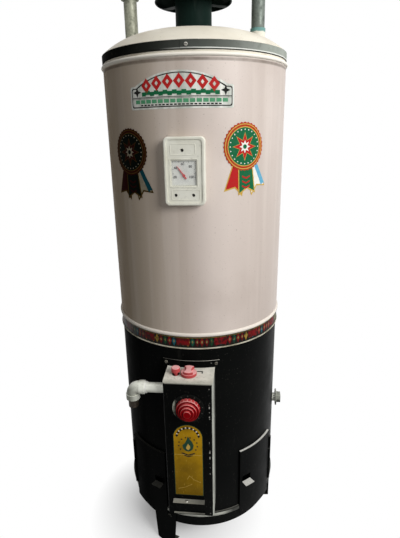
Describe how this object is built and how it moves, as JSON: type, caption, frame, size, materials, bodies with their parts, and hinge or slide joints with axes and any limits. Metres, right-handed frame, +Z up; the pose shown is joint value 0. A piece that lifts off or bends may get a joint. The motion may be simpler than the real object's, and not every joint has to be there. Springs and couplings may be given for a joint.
{
  "type": "water heater",
  "caption": "Floor-standing gas storage water heater: tall enamelled drum on legs with a draft hood, pipe stubs, dial thermometer, front gas control box and hinged burner doors.",
  "frame": {"origin": "on the floor between the legs, on the drum's axis", "axes": "+Z up along the drum's axis; -Y to the front, where the gas control box is; +X to the right seen from the front, where the cold pipe and the drain are"},
  "size_m": [0.4037, 0.4661, 1.333],
  "materials": {
    "cream_enamel": "stove enamel, pinkish beige, gloss",
    "trim_print": "printed strip in red, green and gold blocks",
    "black_enamel": "black stove enamel, gloss",
    "dark_band": "dark bright-finished steel band",
    "plain_steel": "bare mild steel",
    "zinc_fixings": "zinc plated",
    "flue_black": "dark heat-proof paint",
    "galvanised": "galvanised pipe and fittings, patchy grey",
    "cast_parts": "dark malleable and cast iron",
    "blanket": "glass wool",
    "blue_plastic": "teal plastic ring",
    "white_plastic": "white moulded plastic",
    "gauge_paper": "white printed dial face",
    "clear_glass": "clear pane",
    "red_plastic": "red moulded plastic",
    "needle_red": "dark red lacquered sheet",
    "valve_metal": "die cast and drawn aluminium",
    "brass_parts": "plain brass",
    "seal_tape": "white thread seal tape"
  },
  "bodies": {
    "heater": {"base_pan": "plain_steel", "base_ring": "black_enamel", "burner_pedestal": "plain_steel", "burner_venturi": "cast_parts", "cold_pipe": "galvanised", "cold_pipe_ring": "blue_plastic", "control_cover": "black_enamel", "cover_screws": "zinc_fixings", "dial_escutcheon": "valve_metal", "dip_tube": "white_plastic", "door_hinges": "black_enamel", "draft_hood": "flue_black", "drain_nipple": "galvanised", "drain_plug": "cast_parts", "flue_baffle": "plain_steel", "flue_tube": "flue_black", "front_leg": "black_enamel", "gas_elbow": "galvanised", "gas_nipple": "galvanised", "gas_stub": "galvanised", "gas_valve": "valve_metal", "hinge_pins": "zinc_fixings", "hood_straps": "plain_steel", "hot_pipe": "galvanised", "hot_socket": "galvanised", "insulation": "blanket", "leg_bolts": "zinc_fixings", "leg_nuts": "zinc_fixings", "lid": "cream_enamel", "lid_band": "dark_band", "lid_band_screw": "zinc_fixings", "main_burner": "cast_parts", "manifold_tube": "valve_metal", "pilot_bracket": "plain_steel", "pilot_burner": "brass_parts", "pilot_tube": "valve_metal", "rear_leg": "black_enamel", "right_leg": "black_enamel", "skirt": "black_enamel", "tank": "plain_steel", "tank_stand": "plain_steel", "thermocouple": "brass_parts", "thermometer_bezel": "white_plastic", "thermometer_face": "gauge_paper", "thermometer_glass": "clear_glass", "thermometer_screws": "zinc_fixings", "thermometer_stem": "brass_parts", "thermostat_probe": "brass_parts", "thread_tape": "seal_tape", "trim_strip": "trim_print", "upper_shell": "cream_enamel"},
    "dial": {"temperature_dial": "red_plastic", "dial_spindle": "valve_metal"},
    "gas_cock": {"gas_cock_knob": "red_plastic", "gas_cock_stem": "valve_metal"},
    "reset": {"reset_button": "red_plastic"},
    "needle": {"thermometer_needle": "needle_red"},
    "left_burner_door": {"left_door": "black_enamel"},
    "right_burner_door": {"right_door": "black_enamel"}
  },
  "joints": [
    {"name": "dial_turn", "type": "hinge", "parent": "heater", "child": "dial", "pos_m": [0.0004, -0.2516, 0.4585], "axis": [0, -1, 0], "range_deg": [-135, 135]},
    {"name": "gas_cock_turn", "type": "hinge", "parent": "heater", "child": "gas_cock", "pos_m": [-0.001, -0.217, 0.5178], "axis": [0, 0, 1], "range_deg": [0, 90]},
    {"name": "reset_press", "type": "slide", "parent": "heater", "child": "reset", "axis": [0, 0, -1], "range_m": [0, 0.006], "stiffness_N_per_m": 400},
    {"name": "needle_swing", "type": "hinge", "parent": "heater", "child": "needle", "pos_m": [-0.0015, -0.2008, 0.918], "axis": [0, -1, 0], "range_deg": [-131, 58], "stiffness_Nm_per_rad": 0.004},
    {"name": "left_door_swing", "type": "hinge", "parent": "heater", "child": "left_burner_door", "pos_m": [-0.15959, -0.11154, 0.193], "axis": [0, 0, -1], "range_deg": [0, 110]},
    {"name": "right_door_swing", "type": "hinge", "parent": "heater", "child": "right_burner_door", "pos_m": [0.18046, -0.07309, 0.193], "axis": [0, 0, 1], "range_deg": [0, 110]}
  ]
}
